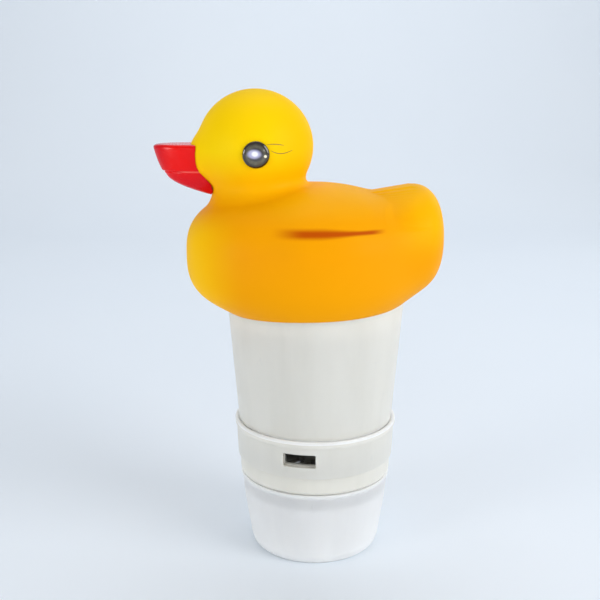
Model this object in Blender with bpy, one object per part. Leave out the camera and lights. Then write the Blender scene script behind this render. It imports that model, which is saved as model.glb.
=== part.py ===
"""Floating chlorine dispenser: a hollow toy duck carries a tapered tablet canister with a flow collar.

Metres, +Z up. The origin is the centre of the base cup's flat underside, and the duck faces -X.
Each object is one separate piece. Turned pieces share the canister's axis, which is Z.
"""

import math

import bmesh
import bpy
import numpy as np
from mathutils import Matrix, Vector

# Clearances and segments
GAP = 0.0003  # between pieces that rest on each other
WELD = 2e-6  # closes the seam of a turned piece
CUT_PAST = 0.002  # how far a cutter runs past the face it cuts
SIDES = 40  # facets of a turned piece that shows
HIDDEN_SIDES = 36  # facets of a turned piece inside
SMALL_SIDES = 12  # facets of a screw or a peg

# Duck: rounded masses that blend into one skin. Each is (centre, radii).
HEAD = ((-0.0282, 0.0, 0.1977), (0.0269, 0.0261, 0.0261))
NECK = ((-0.0262, 0.0, 0.1731), (0.0226, 0.0226, 0.0142))
BODY = ((-0.0053, 0.0, 0.1483), (0.0558, 0.0490, 0.0292))
BELLY = ((-0.0001, 0.0, 0.1398), (0.0359, 0.0423, 0.0334))
TAIL = ((0.0463, 0.0, 0.1571), (0.0130, 0.0300, 0.0225))
BODY_PLAN_POWER = 2.3  # 2 is an ellipse seen from above, more is boxier
BODY_HEIGHT_POWER, TAIL_POWER = 2.82, 2.44
BELLY_BLEND, TAIL_BLEND, NECK_BLEND, HEAD_BLEND = 0.0180, 0.0140, 0.0054, 0.0055
BILL_ROOT = ((-0.0450, 0.0, 0.1930), (0.0135, 0.0120, 0.0095))
ROOT_POWER, ROOT_BLEND = 3.0, 0.0065
# Wing: a leaf-shaped swelling on each flank, sharp along its top and fading downwards and forwards
WING_X, WING_Z, WING_LONG, WING_HIGH = 0.0060, 0.1520, 0.0280, 0.0135
WING_SWELL, WING_EDGE, WING_FADE_X = 0.0018, 0.12, -0.0220
SKIN_CENTRE = Vector((-0.0245, 0.0, 0.166))  # every point of the skin is in sight from here
SKIN_REACH = 0.13
SKIN_WALL = 0.0021
RELAX_ROUNDS = 24  # rounds of sliding the skin's points along it until they lie evenly
SKIN_PROXY = ((0.0, 0.0, 0.160), (0.064, 0.050, 0.046))  # spreads the skin's points evenly
OUTER_CELLS, INNER_CELLS, BILL_CELLS = 17, 10, 8  # cells along each side of the cube a skin grows from

# Bill: the lower half of a rounded mass under a flat top. It leans back to the face as it goes down,
# and its upper lip overhangs the lower one.
BILL = ((-0.0555, 0.0, 0.1988), (0.0204, 0.0115, 0.0271))
BILL_POWER, BILL_TOP_BLEND, BILL_LEAN = 2.21, 0.0018, 0.203
CHIN_X, CHIN_Z, CHIN_SLOPE, CHIN_BLEND = -0.0600, 0.1787, 0.336, 0.0025
MOUTH_Z, MOUTH_STEP, LIP_OVERHANG = 0.1863, 0.0012, 0.0005
BILL_CENTRE = Vector((-0.0600, 0.0, 0.1885))
BILL_PROXY = ((-0.0600, 0.0, 0.1880), (0.0150, 0.0130, 0.0100))
BILL_PEG_RADIUS, BILL_PEG_Z = 0.0040, 0.1900
BILL_PEG_END = -0.0460

# Eyes
EYE_X, EYE_Z, EYE_RADIUS = -0.0268, 0.1956, 0.0059
EYE_RIM_THICK, EYE_DOME, EYE_SIDES = 0.0006, 0.0011, 20
EYE_PEG_RADIUS, EYE_PEG_END = 0.0015, 0.0215

# Canister
RIM_Z, RIM_RADIUS = 0.1285, 0.0427
SHOULDER_Z, SHOULDER_RADIUS = 0.0660, 0.0376
THREAD_FLOOR_Z, THREAD_WALL, CANISTER_WALL = 0.1160, 0.0392, 0.0020
NECK_RADIUS, NECK_BORE = 0.0364, 0.0344
FLANGE_TOP_Z, FLANGE_FOOT_Z, FLANGE_RADIUS = 0.0472, 0.0389, 0.0371
LEDGE_Z = 0.0420
SKIRT_RADIUS, SKIRT_BORE, SKIRT_FOOT_Z = 0.0344, 0.0326, 0.0310
SNAP_Z, SNAP_HALF, SNAP_HEIGHT = 0.0342, 0.0008, 0.00055

# Flow collar and the windows it opens and closes
COLLAR_BORE = 0.03675
COLLAR_FOOT_Z, COLLAR_TOP_Z = 0.0475, 0.0652
COLLAR_LIP_Z, COLLAR_LIP_BORE = 0.0662, 0.0380
COLLAR_FOOT_RADIUS, COLLAR_WAIST_RADIUS, BEAD_RADIUS = 0.03825, 0.0389, 0.0396
WINDOW_COUNT, WINDOW_TURN = 3, math.radians(-12)
WINDOW_Z, WINDOW_WIDE, WINDOW_HIGH = 0.0564, 0.0156, 0.0066
PORT_WIDE, PORT_HIGH = 0.0146, 0.0056

# Screw joint between lid and canister
LEAD = 0.008
THREAD_START, THREAD_TURN = math.radians(20), math.radians(330)
FEMALE_Z, MALE_Z = 0.1198, 0.1179  # middle of each rib where it starts
RIB_ROOT, RIB_CREST = 0.0016, 0.0008  # axial widths
FEMALE_CREST, MALE_CREST = 0.0379, 0.0387

# Lid stack, from the rim up
SEAL_RADIUS, SEAL_THICK = 0.0409, 0.0007
LID_Z, LID_THICK, LID_RADIUS = 0.1305, 0.0025, 0.0424
PLUG_RADIUS, PLUG_BORE, PLUG_FOOT_Z = 0.0370, 0.0352, 0.1162
GASKET_THICK, GASKET_BORE, GASKET_RADIUS = 0.0010, 0.0290, 0.0415
RECESS_RADIUS, RECESS_Z, RECESS_FOOT_Z = 0.0434, 0.1346, 0.09
SHELF_THICK, SHELF_RADIUS, MOUTH_RADIUS = 0.0022, 0.0468, 0.0270
CLAMP_THICK, CLAMP_RADIUS, CLAMP_BORE = 0.0030, 0.0385, 0.0220
BOSS_RADIUS, BOSS_HIGH = 0.0038, 0.0050

# Screws
SCREW_CIRCLE, SCREW_COUNT, SCREW_TURN = 0.0319, 4, math.radians(41)
SHANK_RADIUS, HEAD_RADIUS, HEAD_THICK = 0.00135, 0.0027, 0.0016
LID_SHANK, BALLAST_SHANK, SCREW_HOLE = 0.0128, 0.0078, 0.0017
DRIVE_RADIUS, DRIVE_DEEP = 0.0011, 0.0009

# Base cup and what it holds
CUP_LIP_Z, CUP_LIP_RADIUS = 0.0385, 0.0369
CUP_SIDE = ((0.0369, 0.0369), (0.0363, 0.0363), (0.0352, 0.0243), (0.0330, 0.0105), (0.0321, 0.0045))
CUP_EDGE = (0.0311, 0.0014)
CUP_FOOT_RADIUS = 0.0295
CUP_BORE, CUP_SHELF_Z, CUP_FLOOR_Z = 0.03475, 0.0306, 0.0025
CUP_INSIDE = ((0.0332, 0.0243), (0.0336, CUP_SHELF_Z))
SEAT_Z, SEAT_BORE, WELL_BORE = 0.0089, 0.0307, 0.0289
POST_RADIUS, POST_TOP_Z, POST_HOLE_Z = 0.0055, 0.0102, 0.0042
BALLAST_BORE, BALLAST_RADIUS, BALLAST_TOP_Z = 0.0060, 0.0285, 0.0086
COVER_SEAL_RADIUS, COVER_SEAL_THICK = 0.0297, 0.0005
COVER_Z, COVER_THICK, COVER_RADIUS = 0.0105, 0.0018, 0.0303
GRATE_RADIUS, GRATE_THICK, GRATE_SLOTS = 0.0341, 0.0020, 8
GRATE_SLOT_IN, GRATE_SLOT_OUT, GRATE_SLOT_WIDE = 0.0090, 0.0290, 0.0045


def clear_scene():
    for obj in list(bpy.data.objects):
        bpy.data.objects.remove(obj, do_unlink=True)


def material(name, colour, roughness, metallic=0.0):
    made = bpy.data.materials.new(name)
    made.use_nodes = True
    shader = made.node_tree.nodes["Principled BSDF"]
    shader.inputs["Base Color"].default_value = (*colour, 1.0)
    shader.inputs["Roughness"].default_value = roughness
    shader.inputs["Metallic"].default_value = metallic
    return made


def add_object(name, bm, look=None):
    """Puts the bmesh in the scene as one object. Without a look it is a cutter or a guide."""
    mesh = bpy.data.meshes.new(name)
    bmesh.ops.recalc_face_normals(bm, faces=bm.faces)
    bm.to_mesh(mesh)
    bm.free()
    obj = bpy.data.objects.new(name, mesh)
    bpy.context.collection.objects.link(obj)
    if look:
        mesh.materials.append(look)
        mesh.shade_smooth()
        mesh.set_sharp_from_angle(angle=math.radians(35))
    else:
        obj.hide_render = True
        obj.display_type = "WIRE"
    return obj


def combine(obj, other, operation="DIFFERENCE"):
    modifier = obj.modifiers.new(other.name, "BOOLEAN")
    modifier.operation = operation
    modifier.solver = "EXACT"
    modifier.object = other


def turned(name, outline, look=None, sides=SIDES):
    """A closed outline of (radius, height) points turned about Z. Points on the axis become poles."""
    bm = bmesh.new()
    points = [bm.verts.new((radius, 0.0, height)) for radius, height in outline]
    edges = [
        bm.edges.new((points[i], points[(i + 1) % len(points)]))
        for i in range(len(points))
        if outline[i][0] > 0 or outline[(i + 1) % len(points)][0] > 0
    ]
    bmesh.ops.spin(
        bm, geom=points + edges, axis=(0, 0, 1), cent=(0, 0, 0), angle=2 * math.pi, steps=sides
    )
    bmesh.ops.remove_doubles(bm, verts=bm.verts, dist=WELD)
    return add_object(name, bm, look)


def ring_outline(bore, radius, foot, top):
    return ((radius, top), (radius, foot), (bore, foot), (bore, top))


def disc_outline(radius, foot, top):
    return ((0.0, top), (radius, top), (radius, foot), (0.0, foot))


def round_ring_outline(radius, thick, height, points=6):
    turns = (2 * math.pi * i / points for i in range(points))
    return [(radius + thick * math.cos(t), height - thick * math.sin(t)) for t in turns]


def rod(name, start, end, radius, look=None, sides=SMALL_SIDES):
    """A straight round bar from start to end."""
    start, end = Vector(start), Vector(end)
    run = end - start
    place = Matrix.Translation((start + end) / 2) @ run.to_track_quat("Z", "Y").to_matrix().to_4x4()
    bm = bmesh.new()
    bmesh.ops.create_cone(
        bm, cap_ends=True, segments=sides, radius1=radius, radius2=radius, depth=run.length, matrix=place
    )
    return add_object(name, bm, look)


def block(name, size, place):
    bm = bmesh.new()
    bmesh.ops.create_cube(bm, size=1.0, matrix=place @ Matrix.Diagonal((*size, 1.0)))
    return add_object(name, bm)


# Duck skin


def to_mass(points, mass, power=2.0):
    """About the distance to an ellipsoid's surface, negative inside. A power over 2 makes it boxier."""
    centre, radii = (np.array(v) for v in mass)
    scaled = np.abs((points - centre) / radii)
    reach = (scaled**power).sum(-1) ** (1 / power)
    slope = np.linalg.norm(scaled ** (power - 1) / radii, axis=-1) / np.maximum(reach, 1e-9) ** (power - 1)
    return (reach - 1) / np.maximum(slope, 1e-9)


def to_body(points):
    """The same for the body, whose plan and height have their own powers."""
    centre, radii = (np.array(v) for v in BODY)
    plan_power, height_power = BODY_PLAN_POWER, BODY_HEIGHT_POWER
    x, y, z = np.moveaxis(np.abs((points - centre) / radii), -1, 0)
    plan = (x**plan_power + y**plan_power + 1e-12) ** (1 / plan_power)
    reach = (plan**height_power + z**height_power) ** (1 / height_power)
    share = (plan / reach) ** (height_power - 1)
    slope_x = share * (x / plan) ** (plan_power - 1) / radii[0]
    slope_y = share * (y / plan) ** (plan_power - 1) / radii[1]
    slope_z = (z / reach) ** (height_power - 1) / radii[2]
    return (reach - 1) / np.maximum(np.sqrt(slope_x**2 + slope_y**2 + slope_z**2), 1e-9)


def blended(first, second, width):
    """The union of two shapes, rounded over this width where they meet."""
    overlap = np.maximum(width - np.abs(first - second), 0) / width
    return np.minimum(first, second) - overlap**2 * width / 4


def eased(share):
    share = np.clip(share, 0, 1)
    return share * share * (3 - 2 * share)


def wing_swell(points):
    """How far the wing stands off the flank at each point."""
    x, y, z = np.moveaxis(points, -1, 0)
    inset = 1 - np.hypot((x - WING_X) / WING_LONG, (z - WING_Z) / WING_HIGH)
    fade_down = eased((z - WING_Z + WING_HIGH) / (1.6 * WING_HIGH))
    fade_forward = eased((x - WING_FADE_X) / WING_LONG)
    flank = eased(np.abs(y) / BODY[1][1])
    return WING_SWELL * eased(inset / WING_EDGE) * fade_down * fade_forward * flank


def to_duck(points):
    """About the distance from each point to the duck's skin, negative inside."""
    found = blended(to_body(points), to_mass(points, BELLY), BELLY_BLEND) - wing_swell(points)
    found = blended(found, to_mass(points, TAIL, TAIL_POWER), TAIL_BLEND)
    found = blended(found, to_mass(points, NECK), NECK_BLEND)
    found = blended(found, to_mass(points, HEAD), HEAD_BLEND)
    return blended(found, to_mass(points, BILL_ROOT, ROOT_POWER), ROOT_BLEND)


def to_bill(points):
    """About the distance from each point to the bill, negative inside."""
    centre, radii = (np.array(v) for v in BILL)
    height = points[..., 2]
    upright = points - centre
    upright[..., 0] -= BILL_LEAN * (centre[2] - height)
    reach = (np.abs(upright / radii) ** BILL_POWER).sum(-1) ** (1 / BILL_POWER)
    inset = LIP_OVERHANG * eased((MOUTH_Z - height) / MOUTH_STEP)
    mass = (reach - 1) * radii.min() + inset
    mass = -blended(-mass, centre[2] - height, BILL_TOP_BLEND)
    chin = (CHIN_Z - CHIN_SLOPE * (points[..., 0] - CHIN_X) - height) / np.hypot(1, CHIN_SLOPE)
    return -blended(-mass, -chin, CHIN_BLEND)


def surface_along(field, starts, directions, level):
    """Where the field reaches the level, on the way out from each start."""
    near, far = np.zeros(len(directions)), np.full(len(directions), SKIN_REACH)
    for _ in range(30):
        middle = (near + far) / 2
        inside = field(starts + directions * middle[:, None]) < level
        near, far = np.where(inside, middle, near), np.where(inside, far, middle)
    return starts + directions * ((near + far) / 2)[:, None]


def on_skin(field, centre, points, level):
    """The points moved along their sight lines from the centre until they lie on the skin."""
    sights = points - centre
    return surface_along(field, centre, sights / np.linalg.norm(sights, axis=1)[:, None], level)


def skin_mesh(field, centre, proxy, level, cells):
    """A closed skin where the field equals the level, seen from a centre inside it.

    It starts as a cube of cells blown up to the proxy ellipsoid, and is then evened out.
    """
    bm = bmesh.new()
    bmesh.ops.create_cube(bm, size=2.0)
    bmesh.ops.subdivide_edges(bm, edges=bm.edges, cuts=cells - 1, use_grid_fill=True)
    middle, radii = (np.array(v) for v in proxy)
    cube = np.tan(np.array([vert.co for vert in bm.verts]) * (math.pi / 4))
    ball = cube / np.linalg.norm(cube, axis=1)[:, None]
    centre = np.array(centre)
    points = on_skin(field, centre, middle + ball * radii, level)
    ends = np.array([(edge.verts[0].index, edge.verts[1].index) for edge in bm.edges])
    counts = np.bincount(ends.ravel(), minlength=len(points))[:, None]
    for _ in range(RELAX_ROUNDS):
        sums = np.zeros_like(points)
        np.add.at(sums, ends[:, 0], points[ends[:, 1]])
        np.add.at(sums, ends[:, 1], points[ends[:, 0]])
        points = on_skin(field, centre, (points + sums / counts) / 2, level)
    for vert, point in zip(bm.verts, points):
        vert.co = point
    bmesh.ops.triangulate(bm, faces=bm.faces)
    return bm


def duck_skin(level, cells):
    return skin_mesh(to_duck, SKIN_CENTRE, SKIN_PROXY, level, cells)


def make_duck_shell(look):
    shell = add_object("duck_shell", duck_skin(0.0, OUTER_CELLS), look)
    hollow = add_object("duck_hollow", duck_skin(-SKIN_WALL, INNER_CELLS))
    shelf_top = RECESS_Z + SHELF_THICK
    shelf = turned("shelf_keep", disc_outline(SHELF_RADIUS, RECESS_FOOT_Z, shelf_top), sides=HIDDEN_SIDES)
    combine(hollow, shelf)
    combine(shell, hollow)
    combine(shell, turned("recess", disc_outline(RECESS_RADIUS, RECESS_FOOT_Z, RECESS_Z)))
    mouth = disc_outline(MOUTH_RADIUS, RECESS_Z - CUT_PAST, shelf_top + CUT_PAST)
    combine(shell, turned("mouth", mouth, sides=HIDDEN_SIDES))
    for i, (x, y) in enumerate(screw_places()):
        ends = (x, y, RECESS_Z - CUT_PAST), (x, y, shelf_top + CUT_PAST)
        combine(shell, rod(f"shell_hole_{i}", *ends, SCREW_HOLE))
    eye_hole = rod(
        "eye_hole", (EYE_X, -0.04, EYE_Z), (EYE_X, 0.04, EYE_Z), EYE_PEG_RADIUS + GAP
    )
    combine(shell, eye_hole)
    bill_hole = rod(
        "bill_hole", (-0.07, 0, BILL_PEG_Z), (-0.04, 0, BILL_PEG_Z), BILL_PEG_RADIUS + GAP
    )
    combine(shell, bill_hole)


def make_bill(look):
    bill = add_object("duck_bill", skin_mesh(to_bill, BILL_CENTRE, BILL_PROXY, 0.0, BILL_CELLS), look)
    combine(bill, add_object("face_keep", duck_skin(GAP, OUTER_CELLS)))
    peg = rod("bill_peg", (-0.06, 0, BILL_PEG_Z), (BILL_PEG_END, 0, BILL_PEG_Z), BILL_PEG_RADIUS)
    combine(bill, peg, "UNION")


def eye_ring(bm, radius, lift, side):
    """A ring of points on the skin around the eye's centre, lifted off it."""
    turns = 2 * math.pi * np.arange(EYE_SIDES) / EYE_SIDES
    across, up = EYE_X + radius * np.cos(turns), EYE_Z + radius * np.sin(turns)
    starts = np.stack((across, np.zeros(EYE_SIDES), up), axis=1)
    outward = np.tile((0.0, 1.0, 0.0), (EYE_SIDES, 1))
    found = surface_along(to_duck, starts, outward, lift)
    return [bm.verts.new((x, side * y, z)) for x, y, z in found]


def make_eye(name, side, look):
    """A thin dome that follows the head, with a peg into it."""
    bm = bmesh.new()
    fronts = [
        eye_ring(bm, EYE_RADIUS * share, GAP + EYE_RIM_THICK + EYE_DOME * (1 - share**2), side)
        for share in (0.4, 0.75, 1.0)
    ]
    backs = [eye_ring(bm, EYE_RADIUS * share, 1.5 * GAP, side) for share in (1.0, 0.5)]
    rings = fronts + backs
    for ring, following in zip(rings, rings[1:]):
        for i in range(len(ring)):
            j = (i + 1) % len(ring)
            bm.faces.new((ring[i], ring[j], following[j], following[i]))
    bm.faces.new(rings[0])
    bm.faces.new(rings[-1])
    eye = add_object(name, bm, look)
    head_side = HEAD[1][1]
    peg = rod(
        name + "_peg",
        (EYE_X, side * (head_side + 0.0006), EYE_Z),
        (EYE_X, side * EYE_PEG_END, EYE_Z),
        EYE_PEG_RADIUS,
    )
    combine(eye, peg, "UNION")


# Lid stack


def screw_places():
    turns = (SCREW_TURN + 2 * math.pi * i / SCREW_COUNT for i in range(SCREW_COUNT))
    return [(SCREW_CIRCLE * math.cos(t), SCREW_CIRCLE * math.sin(t)) for t in turns]


def drill_for_screws(obj, foot, top, radius=SCREW_HOLE):
    for i, (x, y) in enumerate(screw_places()):
        combine(obj, rod(f"{obj.name}_hole_{i}", (x, y, foot), (x, y, top), radius))


def rib(name, wall, crest, height):
    """One turn of a thread rib. The wall radius is buried in the piece that carries it."""
    steps = round(THREAD_TURN / (2 * math.pi) * SIDES)
    bm = bmesh.new()
    loops = []
    for i in range(steps + 1):
        turn = THREAD_START + THREAD_TURN * i / steps
        middle = height + LEAD * (turn - THREAD_START) / (2 * math.pi)
        corners = (
            (wall, middle - RIB_ROOT / 2),
            (crest, middle - RIB_CREST / 2),
            (crest, middle + RIB_CREST / 2),
            (wall, middle + RIB_ROOT / 2),
        )
        loops.append(
            [bm.verts.new((r * math.cos(turn), r * math.sin(turn), z)) for r, z in corners]
        )
    for loop, following in zip(loops, loops[1:]):
        for i in range(4):
            j = (i + 1) % 4
            bm.faces.new((loop[i], loop[j], following[j], following[i]))
    bm.faces.new(loops[0])
    bm.faces.new(loops[-1])
    return add_object(name, bm)


def make_lid(look):
    top = LID_Z + LID_THICK
    outline = (
        (0.0, top),
        (LID_RADIUS, top),
        (LID_RADIUS, LID_Z),
        (PLUG_RADIUS, LID_Z),
        (PLUG_RADIUS, PLUG_FOOT_Z),
        (PLUG_BORE, PLUG_FOOT_Z),
        (PLUG_BORE, LID_Z),
        (0.0, LID_Z),
    )
    lid = turned("lid", outline, look)
    combine(lid, rib("male_rib", PLUG_RADIUS - 0.0005, MALE_CREST, MALE_Z), "UNION")
    drill_for_screws(lid, LID_Z - CUT_PAST, top + CUT_PAST)


def make_gasket(look):
    foot = LID_Z + LID_THICK + GAP
    gasket = turned(
        "duck_gasket", ring_outline(GASKET_BORE, GASKET_RADIUS, foot, foot + GASKET_THICK), look, HIDDEN_SIDES
    )
    drill_for_screws(gasket, foot - CUT_PAST, foot + GASKET_THICK + CUT_PAST)


def make_clamp_plate(look):
    foot = RECESS_Z + SHELF_THICK + GAP
    top = foot + CLAMP_THICK
    plate = turned("clamp_plate", ring_outline(CLAMP_BORE, CLAMP_RADIUS, foot, top), look, HIDDEN_SIDES)
    for i, (x, y) in enumerate(screw_places()):
        boss = rod(f"boss_{i}", (x, y, top - 0.001), (x, y, top + BOSS_HIGH), BOSS_RADIUS)
        combine(plate, boss, "UNION")
    drill_for_screws(plate, foot - CUT_PAST, top + BOSS_HIGH + CUT_PAST, SHANK_RADIUS + GAP)


def screw_outline(long):
    """Head down at height 0, shank up."""
    return (
        (0.0, long),
        (SHANK_RADIUS, long - 0.0012),
        (SHANK_RADIUS, 0.0),
        (HEAD_RADIUS, 0.0),
        (HEAD_RADIUS, -HEAD_THICK * 0.5),
        (HEAD_RADIUS * 0.6, -HEAD_THICK),
        (DRIVE_RADIUS, -HEAD_THICK),
        (DRIVE_RADIUS, -HEAD_THICK + DRIVE_DEEP),
        (0.0, -HEAD_THICK + DRIVE_DEEP),
    )


def make_screw(name, long, place, look):
    screw = turned(name, screw_outline(long), look, SMALL_SIDES)
    screw.location = place
    return screw


def make_lid_screws(look):
    for i, (x, y) in enumerate(screw_places()):
        make_screw(f"lid_screw_{i + 1}", LID_SHANK, (x, y, LID_Z - GAP), look)


def make_lid_seal(look):
    height = RIM_Z + GAP + SEAL_THICK
    turned("lid_seal", round_ring_outline(SEAL_RADIUS, SEAL_THICK, height), look, HIDDEN_SIDES)


# Canister, collar and base


def side_radius(height):
    """The canister's outer radius between shoulder and rim."""
    share = (height - SHOULDER_Z) / (RIM_Z - SHOULDER_Z)
    return SHOULDER_RADIUS + share * (RIM_RADIUS - SHOULDER_RADIUS)


def canister_outline():
    return (
        (RIM_RADIUS - 0.0004, RIM_Z),
        (RIM_RADIUS, RIM_Z - 0.0004),
        (SHOULDER_RADIUS, SHOULDER_Z),
        (SHOULDER_RADIUS - 0.0003, SHOULDER_Z - 0.0004),
        (NECK_RADIUS, SHOULDER_Z - 0.0005),
        (NECK_RADIUS, FLANGE_TOP_Z),
        (FLANGE_RADIUS, FLANGE_TOP_Z),
        (FLANGE_RADIUS, FLANGE_FOOT_Z + 0.0012),
        (FLANGE_RADIUS - 0.0006, FLANGE_FOOT_Z),
        (SKIRT_RADIUS, FLANGE_FOOT_Z),
        (SKIRT_RADIUS, SNAP_Z + SNAP_HALF),
        (SKIRT_RADIUS + SNAP_HEIGHT, SNAP_Z),
        (SKIRT_RADIUS, SNAP_Z - SNAP_HALF),
        (SKIRT_RADIUS, SKIRT_FOOT_Z),
        (SKIRT_BORE, SKIRT_FOOT_Z),
        (SKIRT_BORE, LEDGE_Z),
        (NECK_BORE, LEDGE_Z),
        (NECK_BORE, SHOULDER_Z - 0.002),
        (side_radius(SHOULDER_Z + 0.002) - CANISTER_WALL, SHOULDER_Z + 0.002),
        (side_radius(THREAD_FLOOR_Z) - CANISTER_WALL, THREAD_FLOOR_Z - 0.001),
        (THREAD_WALL, THREAD_FLOOR_Z),
        (THREAD_WALL, RIM_Z),
    )


def window_cutter(name, number, radius, wide, high):
    turn = WINDOW_TURN + 2 * math.pi * number / WINDOW_COUNT
    aside = Matrix.Rotation(turn, 4, "Z") @ Matrix.Translation((0.0, -radius, WINDOW_Z))
    return block(f"{name}_{number}", (wide, 0.008, high), aside)


def make_canister(look):
    canister = turned("canister", canister_outline(), look)
    combine(canister, rib("female_rib", THREAD_WALL + 0.0005, FEMALE_CREST, FEMALE_Z), "UNION")
    for number in range(WINDOW_COUNT):
        combine(canister, window_cutter("port", number, NECK_RADIUS, PORT_WIDE, PORT_HIGH))


def make_collar(look):
    outline = (
        (BEAD_RADIUS - 0.0007, COLLAR_LIP_Z),
        (BEAD_RADIUS, COLLAR_LIP_Z - 0.0008),
        (BEAD_RADIUS, COLLAR_TOP_Z - 0.0016),
        (COLLAR_WAIST_RADIUS, COLLAR_TOP_Z - 0.0026),
        (COLLAR_FOOT_RADIUS, COLLAR_FOOT_Z + 0.0004),
        (COLLAR_FOOT_RADIUS - 0.0004, COLLAR_FOOT_Z),
        (COLLAR_BORE, COLLAR_FOOT_Z),
        (COLLAR_BORE, COLLAR_TOP_Z),
        (COLLAR_LIP_BORE, COLLAR_TOP_Z),
        (COLLAR_LIP_BORE, COLLAR_LIP_Z),
    )
    collar = turned("flow_collar", outline, look)
    for number in range(WINDOW_COUNT):
        combine(collar, window_cutter("window", number, COLLAR_BORE, WINDOW_WIDE, WINDOW_HIGH))


def cup_outline():
    return (
        (CUP_LIP_RADIUS - 0.0004, CUP_LIP_Z),
        (CUP_LIP_RADIUS, CUP_LIP_Z - 0.0004),
        *CUP_SIDE,
        CUP_EDGE,
        (CUP_FOOT_RADIUS, 0.0),
        (0.0, 0.0),
        (0.0, POST_HOLE_Z),
        (SHANK_RADIUS + GAP, POST_HOLE_Z),
        (SHANK_RADIUS + GAP, POST_TOP_Z),
        (POST_RADIUS, POST_TOP_Z),
        (POST_RADIUS, CUP_FLOOR_Z),
        (WELL_BORE, CUP_FLOOR_Z),
        (WELL_BORE, SEAT_Z),
        (SEAT_BORE, SEAT_Z),
        (SEAT_BORE, COVER_Z + COVER_THICK),
        *CUP_INSIDE,
        (CUP_BORE, CUP_SHELF_Z),
        (CUP_BORE, SNAP_Z - SNAP_HALF - GAP),
        (CUP_BORE + SNAP_HEIGHT, SNAP_Z),
        (CUP_BORE, SNAP_Z + SNAP_HALF + GAP),
        (CUP_BORE, CUP_LIP_Z),
    )


def make_cup(look):
    turned("base_cup", cup_outline(), look)


def make_grate(look):
    foot = LEDGE_Z + GAP
    grate = turned("tablet_grate", disc_outline(GRATE_RADIUS, foot, foot + GRATE_THICK), look)
    long = GRATE_SLOT_OUT - GRATE_SLOT_IN
    for i in range(GRATE_SLOTS):
        turn = Matrix.Rotation(2 * math.pi * i / GRATE_SLOTS, 4, "Z")
        aside = turn @ Matrix.Translation((GRATE_SLOT_IN + long / 2, 0.0, foot))
        combine(grate, block(f"grate_slot_{i}", (long, GRATE_SLOT_WIDE, 0.008), aside))


def make_ballast(steel, white, rubber):
    foot = CUP_FLOOR_Z + GAP
    turned("ballast", ring_outline(BALLAST_BORE, BALLAST_RADIUS, foot, BALLAST_TOP_Z), steel, HIDDEN_SIDES)
    seal_z = SEAT_Z + GAP + COVER_SEAL_THICK
    turned(
        "ballast_seal", round_ring_outline(COVER_SEAL_RADIUS, COVER_SEAL_THICK, seal_z), rubber, HIDDEN_SIDES
    )
    cover_top = COVER_Z + COVER_THICK
    turned(
        "ballast_cover", ring_outline(SCREW_HOLE, COVER_RADIUS, COVER_Z, cover_top), white, HIDDEN_SIDES
    )
    screw = make_screw("ballast_screw", BALLAST_SHANK, (0.0, 0.0, cover_top + GAP), steel)
    screw.rotation_euler = (math.pi, 0.0, 0.0)


def main():
    clear_scene()
    yellow = material("duck_yellow_vinyl", (0.93, 0.50, 0.02), 0.32)
    red = material("bill_red_vinyl", (0.80, 0.01, 0.01), 0.22)
    dark = material("eye_dark_gloss", (0.035, 0.02, 0.015), 0.15)
    white = material("white_polypropylene", (0.80, 0.80, 0.78), 0.38)
    rubber = material("black_rubber", (0.02, 0.02, 0.02), 0.6)
    steel = material("stainless_steel", (0.6, 0.6, 0.6), 0.3, 1.0)
    make_duck_shell(yellow)
    make_bill(red)
    make_eye("eye_left", -1, dark)
    make_eye("eye_right", 1, dark)
    make_clamp_plate(white)
    make_gasket(rubber)
    make_lid(white)
    make_lid_screws(steel)
    make_lid_seal(rubber)
    make_canister(white)
    make_collar(white)
    make_cup(white)
    make_grate(white)
    make_ballast(steel, white, rubber)


main()
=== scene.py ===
"""Looks of the floating chlorine dispenser: fine skins and mouldings, materials, studio and camera.

Metres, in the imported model's frame. The duck faces -X and the camera stands at -Y.
"""

import math

import bmesh
import bpy
import numpy as np
from mathutils import Matrix, Vector


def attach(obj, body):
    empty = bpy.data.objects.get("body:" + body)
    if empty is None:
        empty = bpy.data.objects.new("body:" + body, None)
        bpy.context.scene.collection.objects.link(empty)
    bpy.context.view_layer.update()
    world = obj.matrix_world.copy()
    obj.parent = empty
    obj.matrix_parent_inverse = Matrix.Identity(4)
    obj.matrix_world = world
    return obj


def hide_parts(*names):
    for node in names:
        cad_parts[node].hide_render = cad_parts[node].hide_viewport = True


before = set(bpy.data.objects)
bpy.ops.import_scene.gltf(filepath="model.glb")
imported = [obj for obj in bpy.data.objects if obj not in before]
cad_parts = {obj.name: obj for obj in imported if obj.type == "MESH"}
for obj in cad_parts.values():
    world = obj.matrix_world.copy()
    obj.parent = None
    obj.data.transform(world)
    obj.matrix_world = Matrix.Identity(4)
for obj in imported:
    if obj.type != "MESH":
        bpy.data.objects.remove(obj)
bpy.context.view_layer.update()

# Air between fixed pieces, and the welds of a turned outline's seam and of a Boolean's seams
GAP, WELD, TWIN_WELD = 0.0003, 2e-6, 2e-7
# Sides round a turned part and a peg, and the degrees over which an edge stays sharp
FINE_SIDES, PEG_SIDES = 192, 32
SHARP_TURNED, SHARP_SKIN = 32.0, 40.0
# How far a cutting tool runs past what it cuts
TOOL_RUN = 0.05
# Keep a division off zero
TINY, TINY_PLAN = 1e-9, 1e-12

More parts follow.
